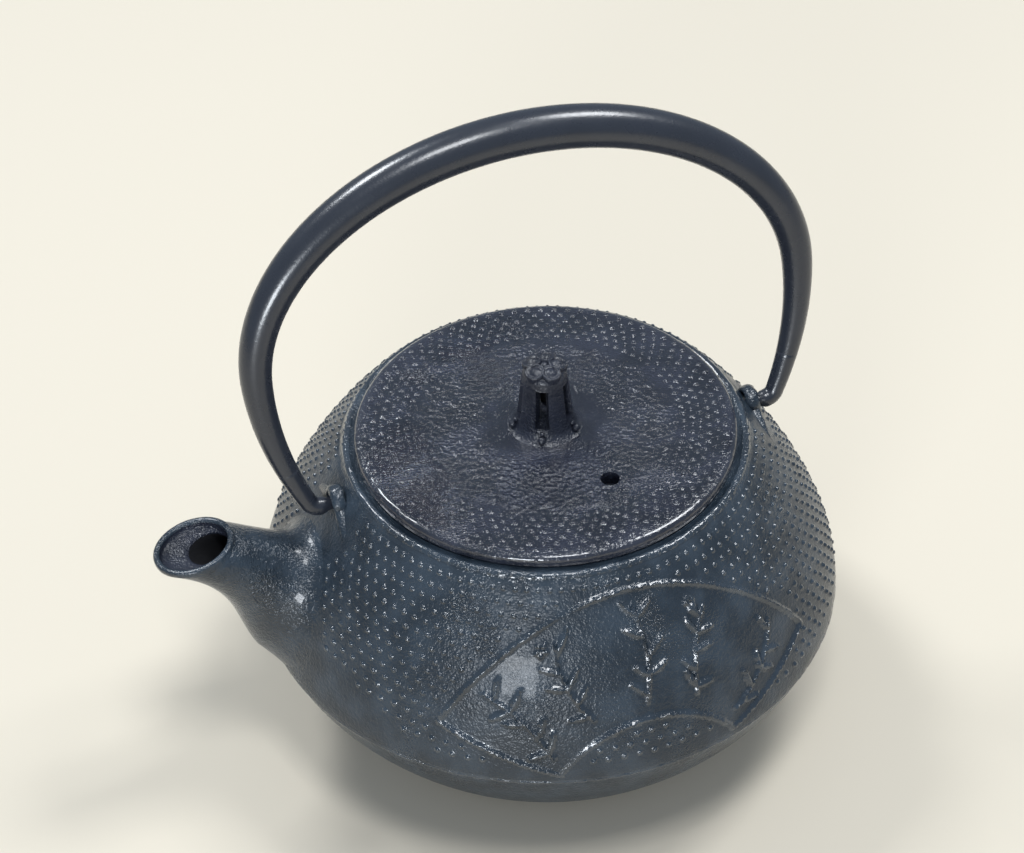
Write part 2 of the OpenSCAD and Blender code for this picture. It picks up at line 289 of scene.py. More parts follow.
pot = {
    "bellyRadius": potHigh.y - 0.6 * mm, "bellyHeight": 33 * mm, "rim": potHigh.z - 0.5 * mm,
    "collar": 47.6 * mm, "shoulder": 1.5, "base": 1.45,   # shoulder and base are superellipse powers
    "baseRadius": 48.5 * mm, "footHeight": 2 * mm, "wall": 3.2 * mm, "floor": 5.5 * mm, "row": 0.5 * mm,
    "throat": 36.5, "ledge": 39, "bead": 1.3,   # in mm
    "seam": 1.6 * mm, "seamHeight": 0.5 * mm, "seamWidth": 0.62 * mm, "worn": 0.16 * mm,
}


def superDrop(r, n):
    return (1 - (r / pot["bellyRadius"]) ** n) ** (1 / n)


shoulderTall = (pot["rim"] - pot["bellyHeight"]) / superDrop(pot["collar"], pot["shoulder"])
baseTall = (pot["bellyHeight"] - pot["footHeight"]) / superDrop(pot["baseRadius"], pot["base"])


def superCurve(tall, n, endRadius):
    last = math.acos((endRadius / pot["bellyRadius"]) ** (n / 2))
    a = np.linspace(0, last, 3000)   # fine enough to read places off the wall by interpolation
    return pot["bellyRadius"] * np.cos(a) ** (2 / n), tall * np.sin(a) ** (2 / n)


shoulderR, shoulderZ = superCurve(shoulderTall, pot["shoulder"], pot["collar"])
baseR, baseZ = superCurve(baseTall, pot["base"], pot["baseRadius"])
lineR = np.concatenate((baseR[:0:-1], shoulderR))
lineZ = np.concatenate((pot["bellyHeight"] - baseZ[:0:-1], pot["bellyHeight"] + shoulderZ))
lineS = np.concatenate(((0,), np.cumsum(np.hypot(np.diff(lineR), np.diff(lineZ)))))
lineS = lineS - np.interp(pot["bellyHeight"], lineZ, lineS)   # distance up the wall from the widest ring


def onWall(s):
    return float(np.interp(s, lineS, lineR)), float(np.interp(s, lineS, lineZ))


def wallSpot(angle, s, lift=0.0):
    # a place on the wall, the way out of it and the way up it
    near = 0.3 * mm
    r, z = onWall(s)
    r2, z2 = onWall(s + near)
    r1, z1 = onWall(s - near)
    up = Vector((r2 - r1, 0, z2 - z1)).normalized()
    out = Vector((up.z, 0, -up.x))
    turn = Matrix.Rotation(angle, 3, "Z")
    return turn @ (Vector((r, 0, z)) + out * lift), turn @ out, turn @ up


def wallLine():
    # the outside from foot to rim, with rows close together at the seam and on the decorated shoulder
    coarse = np.linspace(lineS[0], -4.6 * mm, 16)
    seam = np.arange(-4.2 * mm, -0.9 * mm, 0.3 * mm)
    fine = np.arange(-0.8 * mm, lineS[-1], pot["row"])
    rows = []
    for s in np.concatenate((coarse, seam, fine)):
        r, z = onWall(s)
        away = z - (pot["bellyHeight"] - pot["seam"])
        rows.append((r + pot["seamHeight"] * math.exp(-(away / pot["seamWidth"]) ** 2), z))
    return rows


def potLine():
    # under the foot, up the outside, over the rim and its ledge, and down the inside to the floor
    rim, floor, ledge, throat, bead = pot["rim"], pot["floor"], pot["ledge"], pot["throat"], pot["bead"]
    foot = [(0, 2), (38.4, 2), (38.9, 1.8), (39, 1.3), (39, 0.6), (39.3, 0.1), (39.8, 0), (44.2, 0),
            (44.7, 0.1), (45, 0.6), (45.1, 1.4), (45.9, 1.85), (47.2, 1.9)]
    top = [(pot["collar"] / mm - 0.6 + bead * math.cos(a), -0.8 + bead * math.sin(a))
           for a in np.linspace(0.15, math.pi * 0.72, 12)]
    top += [(45.3, 0), (42, 0), (ledge + 0.3, 0), (ledge + 0.05, -0.15), (ledge, -0.5), (ledge, -1.5),
            (ledge - 0.4, -1.6), (throat + 0.5, -1.6), (throat + 0.1, -1.7), (throat, -2.1), (throat, -3.5),
            (throat + 0.1, -4.4), (throat + 0.5, -4.6)]
    line = [(r * mm, z * mm) for r, z in foot] + wallLine()
    line += [(r * mm, rim + z * mm) for r, z in top]
    for s in np.linspace(lineS[-1] - 9 * mm, lineS[0] + 4 * mm, 30):
        place = wallSpot(0, s, -pot["wall"])[0]
        if floor + 1.5 * mm < place.z < rim - 5.2 * mm:
            line.append((place.x, place.z))
    r = line[-1][0]
    return line + [(r - 1.5 * mm, floor + 0.5 * mm), (r - 4 * mm, floor), (20 * mm, floor), (0, floor)]


# lengths here are in mm, u round the wall from the panel's middle and v up it from the widest ring
fan = {
    "middle": math.radians(-89), "centre": -13.5, "inner": 26, "outer": 57, "innerEnd": (21.7, 0.9),
    "outerEnd": (50.7, 11.6), "ridge": 0.75, "width": 0.46, "leafHeight": 0.8, "sunk": 0.12, "reach": 56,
    "worn": -104, "wornSpan": 5,   # the ridge is worn down near this angle, in degrees
    "sprays": (-50, -25, 1, 26, 50), "tall": (30, 53), "short": (31, 52), "stem": 0.42, "sway": 2.2,
    "leaves": 5, "petals": 5, "petal": 1.9,
}


def fanDepth(u, v):
    # how far a spot lies outside the fan, in mm across the wall
    reach = np.hypot(u, v - fan["centre"])
    (x0, y0), (x1, y1) = fan["innerEnd"], fan["outerEnd"]
    long = math.hypot(x1 - x0, y1 - y0)
    side = ((y0 - v) * (x1 - x0) + (np.abs(u) - x0) * (y1 - y0)) / long
    return np.maximum(np.maximum(reach - fan["outer"], fan["inner"] - reach), side)


def fanSpot(turn, reach, shift):
    # reach is from the fan's centre, and shift is sideways from the line at this turn
    a = math.radians(turn) + shift / reach
    return np.array((reach * math.sin(a), fan["centre"] + reach * math.cos(a)))


def spray(k, turn):
    # one plant as leaves and stems, each (start, end, half width)
    low, high = fan["short"] if k % 2 else fan["tall"]
    flip = (-1) ** k

    def stem(t, rise=0.0, shift=0.0):
        sway = fan["sway"] * math.sin(3.0 * t)
        return fanSpot(turn, mix(low, high, t) + rise, flip * (sway + shift))

    knees = [stem(t) for t in np.linspace(0, 1, 5)]
    parts = [(p, q, fan["stem"]) for p, q in zip(knees, knees[1:])]
    for n in range(fan["leaves"]):
        t = 0.08 + 0.2 * n
        for side in (-1, 1):
            if (n + k + side) % 3:
                rise, shift = 3.4 + random.uniform(-1.5, 1), side * random.uniform(3.6, 5.6)
                parts.append((stem(t), stem(t, rise, shift), random.uniform(0.75, 1.05)))
    if k % 2:
        flower = fanSpot(turn, high + 0.3, flip * 4.4)
        for n in range(fan["petals"]):
            a = 2 * math.pi * n / fan["petals"] + k
            edge = flower + fan["petal"] * np.array((math.cos(a), math.sin(a)))
            parts.append((mix(flower, edge, 0.35), edge, 0.8))
    return parts


def leafHeight(u, v):
    # how high the plants stand at a spot, from 0 to 1
    height = np.zeros_like(u)
    for start, end, wide in [part for k, turn in enumerate(fan["sprays"]) for part in spray(k, turn)]:
        run = end - start
        t = np.clip(((u - start[0]) * run[0] + (v - start[1]) * run[1]) / float(run @ run), 0, 1)
        away = np.hypot(u - start[0] - t * run[0], v - start[1] - t * run[1])
        here = wide
        if wide > fan["stem"]:   # a leaf is widest at its middle
            here = wide * (0.35 + 0.65 * np.sin(math.pi * np.clip(t, 0.02, 0.98)))
        height = np.maximum(height, 1 - np.clip(away / here, 0, 1) ** 2.4)
    return height


def panelLift(spots):
    # how far the panel's borders and plants raise each spot of the pot, in metres
    r, z = np.hypot(spots[:, 0], spots[:, 1]), spots[:, 2]
    angle = np.arctan2(spots[:, 1], spots[:, 0])
    outer = (z > pot["bellyHeight"]) & (z < pot["rim"] - 0.4 * mm)
    outer &= np.abs(r - np.interp(z, lineZ, lineR)) < 0.2 * mm
    u = (angle - fan["middle"]) * pot["bellyRadius"] / mm
    v = np.interp(z, lineZ, lineS) / mm
    rough = np.array([noise.noise(Vector(p) * 900) for p in spots])
    wobble = np.array([noise.noise(Vector(p) * 260) for p in spots])
    depth = fanDepth(u, v)
    fade = 1 - 0.8 * np.exp(-((np.degrees(angle) - fan["worn"]) / fan["wornSpan"]) ** 2)
    ridge = fan["ridge"] * fade * (1 + 0.25 * wobble) * np.exp(-((depth + 0.25 * rough) / fan["width"]) ** 2)
    leaves = fan["leafHeight"] * leafHeight(u + 0.3 * rough, v + 0.3 * wobble) * (1 + 0.35 * rough)
    sunk = fan["sunk"] * step(0.4, -1.2, depth)
    return np.where(outer & (np.abs(u) < fan["reach"]), np.maximum(ridge, leaves) - sunk, 0) * mm


def nearSeam(z):
    return abs(z - pot["bellyHeight"] + 1.5 * mm) < 0.9 * mm


def wearEdges(bm):
    # the bead at the rim and the seam are a little uneven
    for vert in bm.verts:
        reach = vert.co.xy.length
        onBead = vert.co.z > pot["rim"] - 2 * mm and reach > pot["collar"] - 2 * mm
        if onBead or nearSeam(vert.co.z) and reach > pot["bellyRadius"] - 1 * mm:
            vert.co += vert.normal * (pot["worn"] * (noise.noise(vert.co * 600) - 0.6))


def paintPot(bm, proud):
    # material 1 is the inside, and 2 is what stands proud and is rubbed glossier
    for face in bm.faces:
        c = face.calc_center_median()
        reach = math.hypot(c.x, c.y)
        inner = reach < float(np.interp(c.z, lineZ, lineR)) - 1.4 * mm
        inside = inner and pot["footHeight"] + 1 * mm < c.z < pot["rim"] - 3 * mm
        bead = reach > pot["collar"] - 2.2 * mm and c.z > pot["rim"] - 1.7 * mm
        seam = nearSeam(c.z) and not inside
        face.material_index = 1 if inside else 0
        if bead or seam or any(v in proud for v in face.verts):
            face.material_index = 2


def buildPot():
    bm = bmesh.new()
    spinLine(bm, potLine(), [(-134, -44, 225), (-44, 226, 180)])   # finer steps where the panel is
    lift = panelLift(np.array([v.co[:] for v in bm.verts]))
    bm.verts.ensure_lookup_table()
    proud = {bm.verts[index] for index in np.nonzero(lift > 0.1 * mm)[0]}
    for index in np.nonzero(lift)[0]:
        bm.verts[index].co += bm.verts[index].normal * float(lift[index])
    wearEdges(bm)
    for face in [f for f in bm.faces if inBore(f.calc_center_median())]:
        bm.faces.remove(face)   # the way into the spout
    bmesh.ops.delete(bm, geom=[v for v in bm.verts if not v.link_faces], context="VERTS")
    paintPot(bm, proud)
    makeObject("pot_body", bm, [potIron, linerAndShade, hobIron], "pot", "pot_casting")


# lengths are in mm, and places are (distance from the pot's axis, height)
spout = {
    "middle": (86.6, 68.4), "halfLength": 9.8, "tilt": 11.6, "edge": 1.3, "mouthWide": 8.8, "lip": 1.6,
    "rootWide": 17.0, "neckWide": 8.4, "bore": 4.7, "sides": 64, "fillet": 4.5, "risen": 0.22,
    "filletRings": 11, "neckRings": 26, "boreRings": 24,
}
tilt = math.radians(spout["tilt"])
mouthRun = Vector((math.cos(tilt), -math.sin(tilt)))      # from the back of the mouth to its tip
mouthUp = Vector((math.sin(tilt), math.cos(tilt)))
mouthMiddle = Vector(spout["middle"])
tipSpot = mouthMiddle + mouthRun * spout["halfLength"]
heelSpot = mouthMiddle - mouthRun * spout["halfLength"]
upperLine = [Vector((56, 60.2)), heelSpot - Vector((13, 8)), heelSpot - Vector((5.5, 2.6)),
             heelSpot - mouthUp * spout["edge"]]
lowerLine = [Vector((65.5, 25)), Vector((83.4, 35)), tipSpot - Vector((25.4, 14.4)),
             tipSpot - mouthUp * spout["edge"]]


def bend(line, t):
    # a cubic curve through the line's first and last points
    a, b, c, d = line
    return (1 - t) ** 3 * a + 3 * t * (1 - t) ** 2 * b + 3 * t * t * (1 - t) * c + t ** 3 * d


def spoutSection(t):
    # middle, direction to the upper line, half height and half width; t is 0 at the root and 1 at the mouth
    up, low = bend(upperLine, t), bend(lowerLine, t)
    wide = mix(mix(spout["neckWide"], spout["rootWide"], (1 - t) ** 3), spout["mouthWide"], t ** 6)
    return (up + low) / 2, (up - low).normalized(), (up - low).length / 2, wide


def spoutSpot(t, q, thin=0.0):
    middle, toward, half, wide = spoutSection(t)
    c = middle + toward * ((half - thin) * math.cos(q))
    return Vector((-c.x, (wide - thin) * math.sin(q), c.y)) * mm


def mouthSpot(q, lift, thin):
    along = (spout["halfLength"] - thin) * math.cos(q)
    c = mouthMiddle - mouthRun * along + mouthUp * (lift - spout["edge"])
    return Vector((-c.x, (spout["mouthWide"] - thin) * math.sin(q), c.y)) * mm


def boreThin(t):
    # wall left between the skin and the bore
    return mix(spout["neckWide"] - spout["bore"], spout["lip"], t ** 7)


def troughSpot(q, share, deep):
    # a shallow trough behind the lip, with the round bore's opening near the back of the mouth
    long = mix(spout["halfLength"] - spout["lip"], spout["bore"] * 1.06, share)
    wide = mix(spout["mouthWide"] - spout["lip"], spout["bore"] * 1.04, share)
    c = mouthMiddle - mouthRun * (3.1 * share + long * math.cos(q)) - mouthUp * deep
    return Vector((-c.x, wide * math.sin(q), c.y)) * mm


def boreSpot(t, q):
    # round near the mouth and close to the back, then as wide as the spout allows towards the wall
    middle, toward, half = spoutSection(t)[:3]
    c = middle + toward * (half - 1.8 - spout["bore"] + spout["bore"] * math.cos(q))
    rounded = Vector((-c.x, spout["bore"] * math.sin(q), c.y)) * mm
    return mix(spoutSpot(t, q, boreThin(t)), rounded, float(step(0.45, 0.7, t)))


def clearOfWall(p):
    return math.hypot(p.x, p.y) - float(np.interp(p.z, lineZ, lineR))


def rootStart(q, thin, depth=0.0):
    # where along the spout this line of it comes out of the wall
    low, high = 0.0, 0.8
    for _ in range(24):
        middle = (low + high) / 2
        if clearOfWall(spoutSpot(middle, q, thin)) > depth:
            high = middle
        else:
            low = middle
    return high


def wallPlace(p):
    # angle from the spout's side and distance up the wall
    return math.atan2(p.y, p.x) % (2 * math.pi) - math.pi, float(np.interp(p.z, lineZ, lineS))


def inBore(p):
    # whether a spot of the pot's wall lies inside the spout's bore
    if p.x > -50 * mm or abs(p.y) > 15 * mm or not 24 * mm < p.z < 62 * mm:
        return False
    spot = Vector((-p.x, p.z)) / mm
    nearest, inside = math.inf, False
    for t in (k / 50 for k in range(31)):
        middle, toward, half, wide = spoutSection(t)
        off = abs((spot - middle).dot(Vector((toward.y, -toward.x))))
        if off < nearest:
            high, side = half - boreThin(t), wide - boreThin(t)
            nearest = off
            inside = ((spot - middle).dot(toward) / high) ** 2 + (p.y / mm / side) ** 2 < 1
    return inside


def rootRings(starts, turns):
    # the fillet where the spout grows out of the wall
    middleS = sum(wallPlace(spoutSpot(t, q))[1] for t, q in zip(starts, turns)) / len(turns)
    curves = []
    for t, q in zip(starts, turns):
        joint = spoutSpot(t, q)
        side, s = wallPlace(joint)
        long = math.hypot(side * pot["bellyRadius"], s - middleS)
        grow = 1 + spout["fillet"] * mm / max(long, 5 * mm)
        foot = wallSpot(math.pi + side * grow, middleS + (s - middleS) * grow, -0.15 * mm)[0]
        curves.append((foot, joint, spoutSpot(t + (1 - t) * spout["risen"], q)))
    return [[(1 - x) ** 2 * a + 2 * x * (1 - x) * b + x * x * c for a, b, c in curves]
            for x in (k / (spout["filletRings"] - 1) for k in range(spout["filletRings"]))]


lipRound = ((0.7, 0), (1.1, 0.12), (1.3, 0.5), (1.3, 1.0), (1.12, 1.4), (0.7, 1.58))   # (height, way in)
troughFall = ((0, 1.2), (0.1, 1.75), (0.3, 2.15), (0.5, 2.4), (0.7, 2.6), (0.87, 2.75), (0.96, 2.95),
              (1, 3.4))   # (share of the way in, depth)


def buildSpout():
    bm = bmesh.new()
    turns = [2 * math.pi * j / spout["sides"] for j in range(spout["sides"])]
    starts = [rootStart(q, 0) for q in turns]
    rings = rootRings(starts, turns)
    for k in range(1, spout["neckRings"] + 1):
        x = mix(spout["risen"], 1, k / spout["neckRings"])
        rings.append([spoutSpot(t + (1 - t) * x, q) for t, q in zip(starts, turns)])
    # round the lip's edge, over the trough, then down the bore to the inside of the wall
    rings += [[mouthSpot(q, lift, thin) for q in turns] for lift, thin in lipRound]
    lipEnd = (len(rings) - 1) * spout["sides"]
    rings += [[troughSpot(q, share, deep) for q in turns] for share, deep in troughFall]
    troughEnd = (len(rings) - 1) * spout["sides"]
    ends = [rootStart(q, boreThin(0), -1.08 * pot["wall"]) for q in turns]
    for k in range(spout["boreRings"]):
        share = k / (spout["boreRings"] - 1)
        rings.append([boreSpot(mix(0.85, end, share), q) for end, q in zip(ends, turns)])
    made = loft(bm, rings)
    # the bore gets the near-black enamel as painted shade down the hole
    for face in made[troughEnd:]:
        face.material_index = 1
    for face in made[lipEnd:troughEnd]:
        face.material_index = 2
    bmesh.ops.recalc_face_normals(bm, faces=bm.faces)
    middles = [(f, f.calc_center_median()) for f in bm.faces]
    front = [f for f, c in middles if c.y < -7.5 * mm and c.x < -80 * mm]
    if sum(f.normal.y * f.calc_area() for f in front) > 0:   # the skin is open, so it can come out inside out
        bmesh.ops.reverse_faces(bm, faces=bm.faces)
    makeObject("spout", bm, [spoutIron, linerAndShade, knobIron], "pot", "pot_casting")


# a lug is a strap over the pin; its path is (along y, above the pin, width), with its legs in the shoulder
lug = {"x": 51.7 * mm, "thick": 1.7 * mm, "strap": 1.25 * mm, "reach": 3.12, "pin": 71.0 * mm, "sides": 20,
       "legs": [(-10.4, -4.6, 1.5), (-8.2, -3.1, 1.4), (-6.2, -2.0, 1.25), (-4.5, -0.9, 1.1)],
       "uneven": 0.3 * mm}


def buildLugs():
    bm = bmesh.new()
    path = list(lug["legs"])
    for a in np.linspace(math.pi * 0.99, 0.01 * math.pi, 13):
        path.append((lug["reach"] * math.cos(a), lug["reach"] * math.sin(a), 1.0))
    path += [(-y, z, w) for y, z, w in reversed(lug["legs"])]
    for side in (-1, 1):
        rings = []
        for k, (y, z, w) in enumerate(path):
            before, after = path[max(k - 1, 0)], path[min(k + 1, len(path) - 1)]
            run = Vector((0, after[0] - before[0], after[1] - before[1])).normalized()
            across = Vector((0, -run.z, run.y))
            centre = Vector((side * lug["x"], y * mm, lug["pin"] + z * mm))
            rings.append(ringAround(centre, Vector((1, 0, 0)), across, lug["thick"] * (0.8 + 0.2 * w),
                                    lug["strap"] * w, lug["sides"]))
        loft(bm, rings, True, True)
    for vert in bm.verts:
        vert.co += Vector((1, 1, 1)) * lug["uneven"] * noise.noise(vert.co * 520)
    bmesh.ops.recalc_face_normals(bm, faces=bm.faces)
    makeObject("handle_lugs", bm, [spoutIron], "pot", "pot_casting")


def hobShape():
    # a low round stud 1 wide and 1 high, with a flared skirt that sinks into the wall
    bm = bmesh.new()
    rings = [ringAround(Vector((0, 0, h)), Vector((1, 0, 0)), Vector((0, 1, 0)), r, r, 8)
             for r, h in ((1.45, -0.08), (1.05, 0.14), (0.78, 0.6), (0.42, 0.92))]
    loft(bm, rings, False, True)
    bmesh.ops.recalc_face_normals(bm, faces=bm.faces)
    shape = bpy.data.meshes.new("hob_shape")
    bm.to_mesh(shape)
    bm.free()
    if shape.polygons[-1].normal.z < 0:
        shape.flip_normals()
    return shape


def addHob(bm, shape, place, out, up, radius, height):
    # out is the way it stands, and up is any direction square to that
    side = up.cross(out).normalized()
    turn = Matrix((side * radius, up * radius, out * height)).transposed().to_4x4()
    turn.translation = place
    copy = shape.copy()
    copy.transform(turn)
    bm.from_mesh(copy)
    bpy.data.meshes.remove(copy)


hobs = {"around": 120, "rows": 18, "top": 52.5 * mm, "bottom": 4.2 * mm, "radius": 0.6 * mm,
        "height": 0.52 * mm, "fanGap": 2.1, "fanSpan": 60, "lugHeight": 66 * mm, "lugGap": 11.5 * mm,
        "spoutGap": (20, 9), "lowest": 36.4, "lowestBySpout": 8.5}   # spoutGap in degrees, low and high up


def isBare(angle, s):
    # no hobs on the panel, round the spout's root, below the lowest row or at the lugs
    r, z = onWall(s)
    u = (angle - fan["middle"]) * pot["bellyRadius"] / mm
    onPanel = fanDepth(u, s / mm) < hobs["fanGap"] and abs(u) < hobs["fanSpan"]
    fromSpout = math.degrees(math.pi - abs(angle))
    bySpout = fromSpout < mix(*hobs["spoutGap"], step(40, 66, z / mm))
    tooLow = z / mm < hobs["lowest"] + hobs["lowestBySpout"] * step(52, 26, fromSpout)
    byLug = z > hobs["lugHeight"] and abs(r * math.sin(angle)) < hobs["lugGap"]
    return onPanel or bySpout or tooLow or byLug


def buildPotHobs(shape):
    bm = bmesh.new()
    for row, share in enumerate(np.linspace(0, 1, hobs["rows"]) ** 0.92):
        s = mix(hobs["top"], hobs["bottom"], share)
        for n in range(hobs["around"]):
            angle = 2 * math.pi * (n + 0.5 * (row % 2)) / hobs["around"] - math.pi
            if isBare(angle, s):
                continue
            grow = mix(0.92, 1.12, share) * random.uniform(0.9, 1.06)
            place, out, up = wallSpot(angle + random.uniform(-0.002, 0.002),
                                      s + random.uniform(-0.1, 0.1) * mm)
            addHob(bm, shape, place, out, up, hobs["radius"] * grow,
                   hobs["height"] * grow * random.uniform(0.7, 1.05))
    print("pot hobnails:", len(bm.faces) // len(shape.polygons))
    makeObject("pot_hobnails", bm, [hobIron], "pot", "pot_casting")


lid = {"base": lidHigh.z - 4.0 * mm, "hobRadius": 0.58 * mm, "hobHeight": 0.46 * mm, "around": 82,
       "rows": (32.6, 34.6, 36.6, 38.6, 40.6, 42.5), "ventAngle": math.radians(-71.5),
       "ventReach": 24.5 * mm, "vent": 2.25 * mm, "pits": 0.42 * mm, "rubbed": 43.2 * mm,
       "crown": ((0, 4.0), (12, 3.97), (15, 3.85), (20, 3.65), (31.5, 3.46), (33.6, 3.44), (34.4, 3.42),
                 (42.8, 3.2))}   # crown is (radius, height above the lid's base), in mm


def lidTop(r):
    return float(np.interp(r, *zip(*lid["crown"])))


def lidLine():
    # the underside with its skirt, the edge, and the top back to the middle
    under = [(0, 0), (12, 0)] + [(r, 0) for r in np.arange(20.5, 29, 0.5)]
    skirt = [(30.3, 0), (30.6, -0.3), (30.6, -6.6), (30.9, -6.95), (32.7, -6.95), (33, -6.6), (33, -0.2),
             (33.2, 0)]
    edge = [(44.5, 0), (45.0, 0.15), (45.2, 0.6), (45.2, 1.5), (45.15, 2.0), (44.95, 2.5), (44.55, 2.85),
            (44.0, 3.05), (43.4, 3.16)]
    over = [(r, lidTop(r)) for r in np.arange(42.7, 11.9, -0.42)] + [(10, 3.98), (6, 4.0), (0, 4.0)]
    return [(r * mm, lid["base"] + z * mm) for r, z in under + skirt + edge + over]


def roughenLid(bm):
    # a pitted ring between the knob and the hobs, and a slightly uneven edge
    for vert in bm.verts:
        reach = vert.co.xy.length / mm
        if vert.co.z > lid["base"] + 2.5 * mm and reach > 10:
            zone = float(step(12, 17, reach) * (1 - step(28, 31.5, reach)))
            patch = 0.55 + 0.45 * noise.noise(vert.co * 130)
            lumps = noise.noise(vert.co * 950) + 0.5 * noise.noise(vert.co * 1800)
            vert.co.z += lid["pits"] * zone * patch * lumps
        if reach > 42.8 and vert.co.z > lid["base"] + 1.2 * mm:
            vert.co.z += 0.09 * mm * min(0.0, noise.noise(vert.co * 900) - 0.1)
            vert.co.xy *= 1 + 0.002 * min(0.0, noise.noise(vert.co * 700) - 0.1)


def cutVent(bm):
    # the steam vent goes through both faces and is lined
    centre = Vector((math.cos(lid["ventAngle"]), math.sin(lid["ventAngle"]), 0)) * lid["ventReach"]
    gone = [f for f in bm.faces if (f.calc_center_median() - centre).xy.length < lid["vent"]]
    bmesh.ops.delete(bm, geom=gone, context="FACES")
    edges = [e for e in bm.edges if e.is_boundary]
    for vert in {v for e in edges for v in e.verts}:
        out = (vert.co - centre).xy.normalized() * lid["vent"]
        vert.co.x, vert.co.y = centre.x + out.x, centre.y + out.y
    bmesh.ops.bridge_loops(bm, edges=edges)
    bmesh.ops.recalc_face_normals(bm, faces=bm.faces)


def buildLid(shape):
    bm = bmesh.new()
    spinLine(bm, lidLine(), [(0, 360, 400)])
    roughenLid(bm)
    cutVent(bm)
    for face in bm.faces:
        face.material_index = 1 if face.calc_center_median().xy.length > lid["rubbed"] else 0
    makeObject("lid_body", bm, [lidIron, lidHobIron], "lid", "lid_casting")
    bm = bmesh.new()
    for row, reach in enumerate(lid["rows"]):
        high = Vector((0, 0, lid["base"] + lidTop(reach) * mm))
        for n in range(lid["around"]):
            angle = 2 * math.pi * (n + 0.5 * (row % 2)) / lid["around"]
            out = Vector((math.cos(angle), math.sin(angle), 0))
            place = out * (reach + random.uniform(-0.1, 0.1)) * mm + high
            grow = random.uniform(0.88, 1.08)
            addHob(bm, shape, place, Vector((0, 0, 1)), out, lid["hobRadius"] * grow,
                   lid["hobHeight"] * random.uniform(0.7, 1.1))
    makeObject("lid_hobnails", bm, [lidHobIron], "lid", "lid_casting")


# a slot is slotSteps of the knob's steps wide; the petal's outline is (radius, height), and each bud is
# (reach, height, radius), in mm
knob = {"low": knobLow.z, "tall": (knobHigh.z - knobLow.z) / mm, "slots": 5, "turn": -115, "steps": 60,
        "slotSteps": 5, "slotLow": 3.5, "wall": 2.7 * mm, "hollow": 4.2 * mm, "floor": 4.4 * mm,
        "petal": [(0, 1.35), (0.5, 1.3), (1.0, 1.05), (1.35, 0.75), (1.6, 0.7), (1.85, 0.95), (2.1, 1.02),
                  (2.3, 0.85), (2.4, 0.4), (2.4, -1.2)],
        "petalReach": 3.05 * mm, "petalLean": math.radians(14), "buds": ((7.9, 1.2, 0.95), (7.0, 2.4, 0.6)),
        "eye": 1.1 * mm}


def atKnob(turn, reach, height):
    # a place on the knob, turned to face outwards; turn is in degrees, reach and height in metres
    return Matrix.Rotation(math.radians(turn), 4, "Z") @ Matrix.Translation((reach, 0, knob["low"] + height))


def buildKnob():
    tall = knob["tall"]
    high = tall - 4.6
    pitch = 360 / knob["slots"]
    slotTurn = knob["slotSteps"] * 360 / knob["steps"]
    line = [(9.3, -0.3), (8.9, -0.04), (8.3, 0.2), (7.7, 0.6), (7.2, 1.25), (6.85, 2.2),
            (6.6, knob["slotLow"])]
    line += [(mix(6.5, 5.5, t), mix(knob["slotLow"], high, t)) for t in np.linspace(0, 1, 8)[1:]]
    line += [(5.35, high + 0.6), (5.2, tall - 3.2), (4.9, tall - 2.2), (4.3, tall - 1.6), (2.5, tall - 1.4),
             (0, tall - 1.4)]
    bm = bmesh.new()
    start = knob["turn"] - slotTurn / 2
    spinLine(bm, [(r * mm, knob["low"] + z * mm) for r, z in line], [(start, start + 360, knob["steps"])])
    cut = []
    for face in bm.faces:
        c = face.calc_center_median()
        turn = (math.degrees(math.atan2(c.y, c.x)) - start) % pitch
        if turn < slotTurn and knob["slotLow"] < (c.z - knob["low"]) / mm < high:
            cut.append(face)
    bmesh.ops.delete(bm, geom=cut, context="FACES")
    bmesh.ops.recalc_face_normals(bm, faces=bm.faces)
    bmesh.ops.solidify(bm, geom=bm.faces, thickness=knob["wall"])
    for vert in bm.verts:
        if vert.co.xy.length > 6.7 * mm:
            vert.co.z += 0.25 * mm * noise.noise(vert.co * 650)
    for face in bm.faces:
        # faces inside the hollow get the near-black enamel as painted shade, so the slots read dark
        face.material_index = 1 if face.calc_center_median().xy.length < knob["hollow"] else 0
    bmesh.ops.create_cone(bm, cap_ends=True, segments=40, radius1=knob["floor"], radius2=knob["floor"],
                          depth=2.2 * mm, matrix=atKnob(0, 0, 2 * mm))   # floor of the hollow
    # blossom on top and buds under each slot
    for n in range(knob["slots"]):
        blossom = bmesh.new()
        spinLine(blossom, [(r * mm, z * mm) for r, z in knob["petal"]], [(0, 360, 28)])
        if sum(f.normal.z for f in blossom.faces) < 0:
            bmesh.ops.reverse_faces(blossom, faces=blossom.faces)
        place = atKnob(knob["turn"] + pitch * (n + 0.5), knob["petalReach"], (tall - 1.55) * mm)
        lean = Matrix.Rotation(knob["petalLean"], 4, "Y")
        bmesh.ops.transform(blossom, verts=blossom.verts, matrix=place @ lean)
        spare = bpy.data.meshes.new("petal")
        blossom.to_mesh(spare)
        blossom.free()
        bm.from_mesh(spare)
        bpy.data.meshes.remove(spare)
    for n in range(knob["slots"]):
        for reach, height, size in knob["buds"]:
            bmesh.ops.create_uvsphere(bm, u_segments=14, v_segments=8, radius=size * mm,
                                      matrix=atKnob(knob["turn"] + pitch * n, reach * mm, height * mm))
    bmesh.ops.create_uvsphere(bm, u_segments=16, v_segments=8, radius=knob["eye"],
                              matrix=atKnob(0, 0, (tall - 1.2) * mm))
    makeObject("knob", bm, [knobIron, linerAndShade], "lid", "knob_casting")


# lengths are in mm: x from the pot's axis and s up from the pins; the arch leans back from upright in degrees
handle = {"wide": 66.25, "high": 81.6, "bulge": 7.8, "bulgeAt": 34.5, "heelAt": 1.876, "socket": 11.0,
          "heel": 2.2, "top": 5.2, "lean": 14, "pin": 71.0, "sides": 44, "heelX": 58.45, "bend": 3.0,
          "bendTurn": 68, "rings": 150, "legShare": 5 / 19, "hookSides": 32, "play": 0.015}


